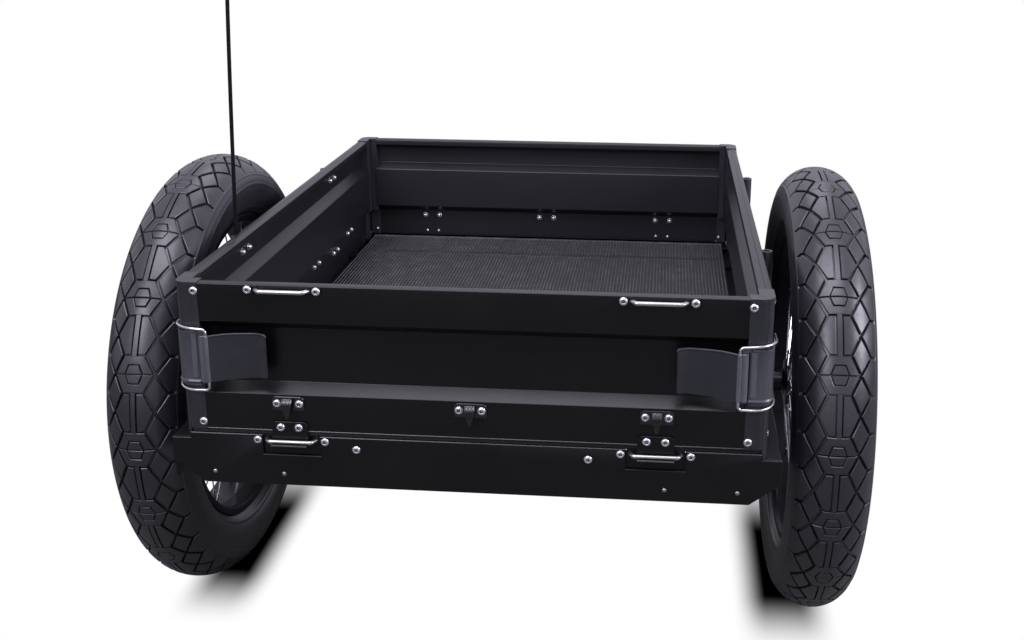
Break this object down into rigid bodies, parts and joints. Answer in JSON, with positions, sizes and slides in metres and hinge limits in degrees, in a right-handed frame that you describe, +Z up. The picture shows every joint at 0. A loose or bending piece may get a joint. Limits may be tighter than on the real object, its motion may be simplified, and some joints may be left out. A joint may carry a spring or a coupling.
{
  "type": "bicycle trailer",
  "caption": "Flat-bed cargo trailer for a bicycle: sheet-metal box with drop gates and corner latches, fat spoked wheels, stake sockets with a flag pole, drawbar and parking leg.",
  "frame": {"origin": "on the ground, halfway along and across the trailer with its drawbar", "axes": "+Y forwards towards the bicycle, +Z up, +X to the trailer's right side seen from behind"},
  "size_m": [0.9052, 1.5414, 1.5002],
  "materials": {
    "black_panel": "satin",
    "grey_post": "satin",
    "black_frame": "satin",
    "lever_coat": "satin",
    "zinc_wire": "bright zinc",
    "floor_mesh": "satin",
    "tyre_rubber": "matte",
    "black_rim": "gloss",
    "hub_metal": "gloss",
    "steel": "satin",
    "black_plastic": "matte",
    "flag_cloth": "matte"
  },
  "bodies": {
    "chassis": {"rear_crossbeam": "black_frame", "front_crossbeam": "black_frame", "left_side_rail": "black_frame", "right_side_rail": "black_frame", "axle_beam": "black_frame", "floor_mesh": "floor_mesh", "floor_rail": "black_frame", "drawbar_receiver": "black_frame", "drawbar": "black_frame", "leg_bracket": "black_frame", "left_side_panel": "black_panel", "right_side_panel": "black_panel", "rear_left_hinge_bar": "steel", "rear_right_hinge_bar": "steel", "front_left_hinge_bar": "steel", "front_right_hinge_bar": "steel", "left_rear_side_post": "grey_post", "left_front_side_post": "grey_post", "right_rear_side_post": "grey_post", "right_front_side_post": "grey_post", "left_rear_stake_socket": "grey_post", "left_front_stake_socket": "grey_post", "right_rear_stake_socket": "grey_post", "right_front_stake_socket": "grey_post"},
    "left_wheel": {"left_tyre": "tyre_rubber", "left_rim": "black_rim", "left_hub": "hub_metal"},
    "right_wheel": {"right_tyre": "tyre_rubber", "right_rim": "black_rim", "right_hub": "hub_metal"},
    "tailgate": {"tailgate_panel": "black_panel", "tailgate_left_post": "grey_post", "tailgate_left_hinge": "black_frame", "tailgate_right_post": "grey_post", "tailgate_right_hinge": "black_frame", "tie_hook_left": "black_frame", "tie_hook_middle": "black_frame", "tie_hook_right": "black_frame", "upper_bar_left": "steel", "upper_bar_right": "steel"},
    "front_gate": {"front_gate_panel": "black_panel", "front_gate_left_post": "grey_post", "front_gate_left_hinge": "black_frame", "front_gate_right_post": "grey_post", "front_gate_right_hinge": "black_frame"},
    "tailgate_left_lever": {"tailgate_left_latch_lever": "lever_coat"},
    "tailgate_left_bail": {"tailgate_left_latch_bail": "zinc_wire"},
    "tailgate_right_lever": {"tailgate_right_latch_lever": "lever_coat"},
    "tailgate_right_bail": {"tailgate_right_latch_bail": "zinc_wire"},
    "front_gate_left_lever": {"front_gate_left_latch_lever": "lever_coat"},
    "front_gate_left_bail": {"front_gate_left_latch_bail": "zinc_wire"},
    "front_gate_right_lever": {"front_gate_right_latch_lever": "lever_coat"},
    "front_gate_right_bail": {"front_gate_right_latch_bail": "zinc_wire"},
    "lock_pin": {"lock_pin": "steel"},
    "hitch_swivel": {"hitch_swivel": "steel"},
    "hitch_coupler": {"hitch_coupler": "steel"},
    "parking_leg": {"parking_leg": "black_frame", "leg_foot": "black_plastic"},
    "flag_pole": {"flag_pole": "black_plastic", "flag": "flag_cloth"}
  },
  "joints": [
    {"name": "left_wheel_spin", "type": "hinge", "parent": "chassis", "child": "left_wheel", "pos_m": [-0.4045, -0.42925, 0.29], "axis": [1, 0, 0], "continuous": true},
    {"name": "right_wheel_spin", "type": "hinge", "parent": "chassis", "child": "right_wheel", "pos_m": [0.4045, -0.42925, 0.29], "axis": [1, 0, 0], "continuous": true},
    {"name": "tailgate_drop", "type": "hinge", "parent": "chassis", "child": "tailgate", "pos_m": [0, -0.76555, 0.333], "axis": [1, 0, 0], "range_deg": [0, 170]},
    {"name": "front_gate_drop", "type": "hinge", "parent": "chassis", "child": "front_gate", "pos_m": [0, 0.08205, 0.333], "axis": [-1, 0, 0], "range_deg": [0, 95]},
    {"name": "tailgate_left_lever_open", "type": "hinge", "parent": "tailgate", "child": "tailgate_left_lever", "pos_m": [-0.2931, -0.76405, 0.402], "axis": [0, 0, -1], "range_deg": [0, 130]},
    {"name": "tailgate_left_bail_release", "type": "hinge", "parent": "tailgate_left_lever", "child": "tailgate_left_bail", "pos_m": [-0.288, -0.76705, 0.402], "axis": [0, 0, -1], "range_deg": [-130, 0]},
    {"name": "tailgate_right_lever_open", "type": "hinge", "parent": "tailgate", "child": "tailgate_right_lever", "pos_m": [0.2931, -0.76405, 0.402], "axis": [0, 0, 1], "range_deg": [0, 130]},
    {"name": "tailgate_right_bail_release", "type": "hinge", "parent": "tailgate_right_lever", "child": "tailgate_right_bail", "pos_m": [0.288, -0.76705, 0.402], "axis": [0, 0, 1], "range_deg": [-130, 0]},
    {"name": "front_gate_left_lever_open", "type": "hinge", "parent": "front_gate", "child": "front_gate_left_lever", "pos_m": [-0.2931, 0.08055, 0.402], "axis": [0, 0, 1], "range_deg": [0, 130]},
    {"name": "front_gate_left_bail_release", "type": "hinge", "parent": "front_gate_left_lever", "child": "front_gate_left_bail", "pos_m": [-0.288, 0.08355, 0.402], "axis": [0, 0, 1], "range_deg": [-130, 0]},
    {"name": "front_gate_right_lever_open", "type": "hinge", "parent": "front_gate", "child": "front_gate_right_lever", "pos_m": [0.2931, 0.08055, 0.402], "axis": [0, 0, -1], "range_deg": [0, 130]},
    {"name": "front_gate_right_bail_release", "type": "hinge", "parent": "front_gate_right_lever", "child": "front_gate_right_bail", "pos_m": [0.288, 0.08355, 0.402], "axis": [0, 0, -1], "range_deg": [-130, 0]},
    {"name": "lock_pin_pull", "type": "slide", "parent": "chassis", "child": "lock_pin", "axis": [-1, 0, 0], "range_m": [0, 0.055]},
    {"name": "hitch_yaw", "type": "hinge", "parent": "chassis", "child": "hitch_swivel", "pos_m": [-0.13, 0.64075, 0.29], "axis": [0, 0, 1], "range_deg": [-90, 90]},
    {"name": "hitch_pitch", "type": "hinge", "parent": "hitch_swivel", "child": "hitch_coupler", "pos_m": [-0.13, 0.69275, 0.29], "axis": [1, 0, 0], "range_deg": [-30, 30]},
    {"name": "leg_fold", "type": "hinge", "parent": "chassis", "child": "parking_leg", "pos_m": [0.09, 0.03575, 0.252], "axis": [-1, 0, 0], "range_deg": [0, 90]},
    {"name": "flag_pole_lift", "type": "slide", "parent": "chassis", "child": "flag_pole", "axis": [0, 0, 1], "range_m": [0, 0.155]}
  ],
  "couplings": [
    {"joint": "tailgate_left_bail_release", "follows": "tailgate_left_lever_open", "ratio": -1},
    {"joint": "tailgate_right_bail_release", "follows": "tailgate_right_lever_open", "ratio": -1},
    {"joint": "front_gate_left_bail_release", "follows": "front_gate_left_lever_open", "ratio": -1},
    {"joint": "front_gate_right_bail_release", "follows": "front_gate_right_lever_open", "ratio": -1}
  ]
}
